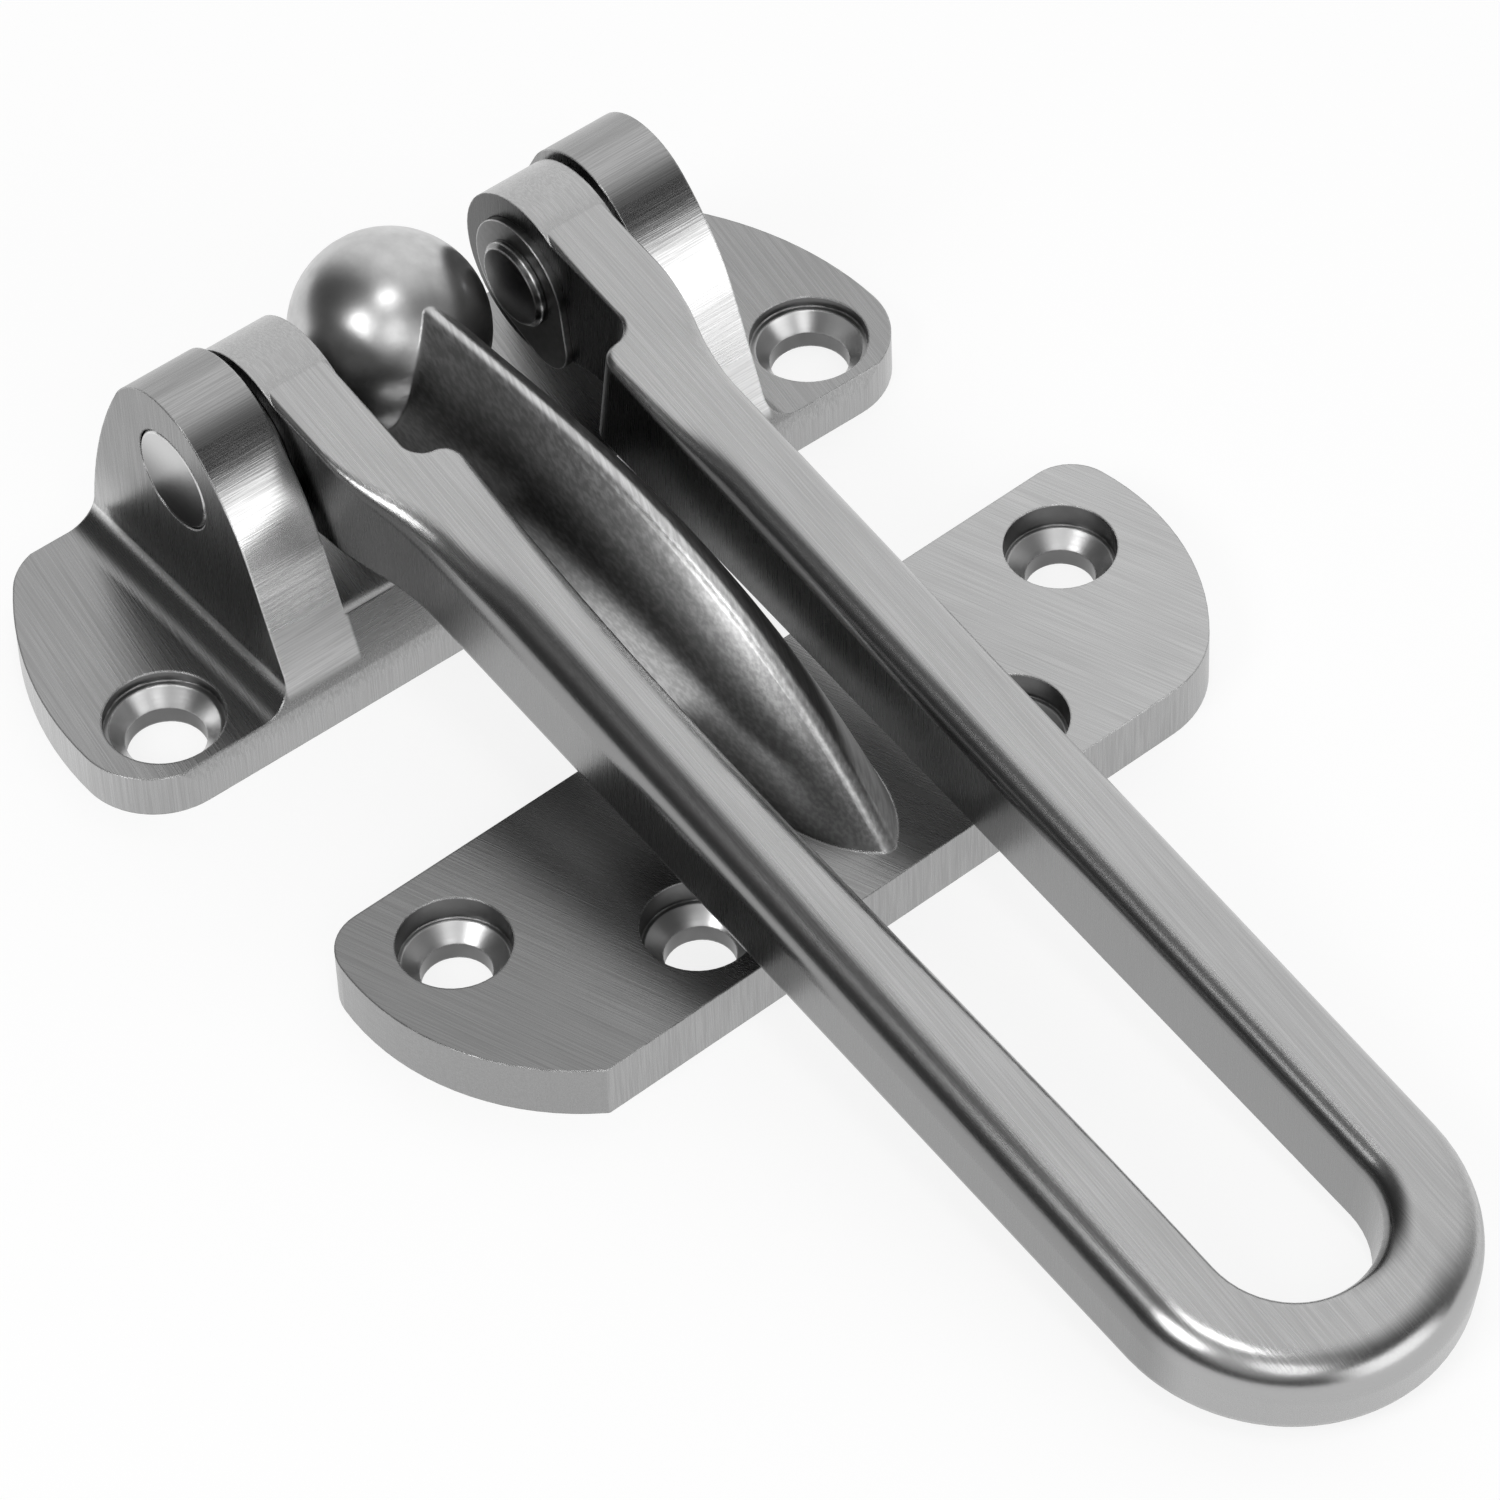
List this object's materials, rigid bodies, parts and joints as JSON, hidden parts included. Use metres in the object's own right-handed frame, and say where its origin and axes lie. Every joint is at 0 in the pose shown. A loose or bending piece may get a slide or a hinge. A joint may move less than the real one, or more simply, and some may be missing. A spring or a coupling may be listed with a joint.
{
  "type": "door security latch",
  "caption": "Swing-bar door guard: a U-shaped bar on a hinged base that closes over a ball carried by a door-side plate.",
  "frame": {"origin": "on the mounting plane, straight under the hinge axis, midway between the two ears", "axes": "+X from the hinge towards the tip of the closed bar, +Y along the hinge axis, +Z away from the mounting plane"},
  "size_m": [0.1219, 0.0741, 0.0242],
  "materials": {
    "cast_body": "brushed satin",
    "cast_bar": "brushed satin",
    "cast_plate": "brushed satin",
    "pin_metal": "turned and polished",
    "washer_metal": "plain satin",
    "friction_metal": "pressed satin"
  },
  "bodies": {
    "root": {"hinge_base": "cast_body", "door_plate": "cast_plate", "left_hinge_pin": "pin_metal", "right_hinge_pin": "pin_metal", "left_spacer_washer": "washer_metal", "right_spacer_washer": "washer_metal"},
    "bar": {"swing_bar": "cast_bar", "left_friction_plate": "friction_metal", "right_friction_plate": "friction_metal"}
  },
  "joints": [
    {"name": "bar_swing", "type": "hinge", "parent": "root", "child": "bar", "pos_m": [0, 0, 0.01706], "axis": [0, -1, 0], "range_deg": [0, 180]}
  ]
}
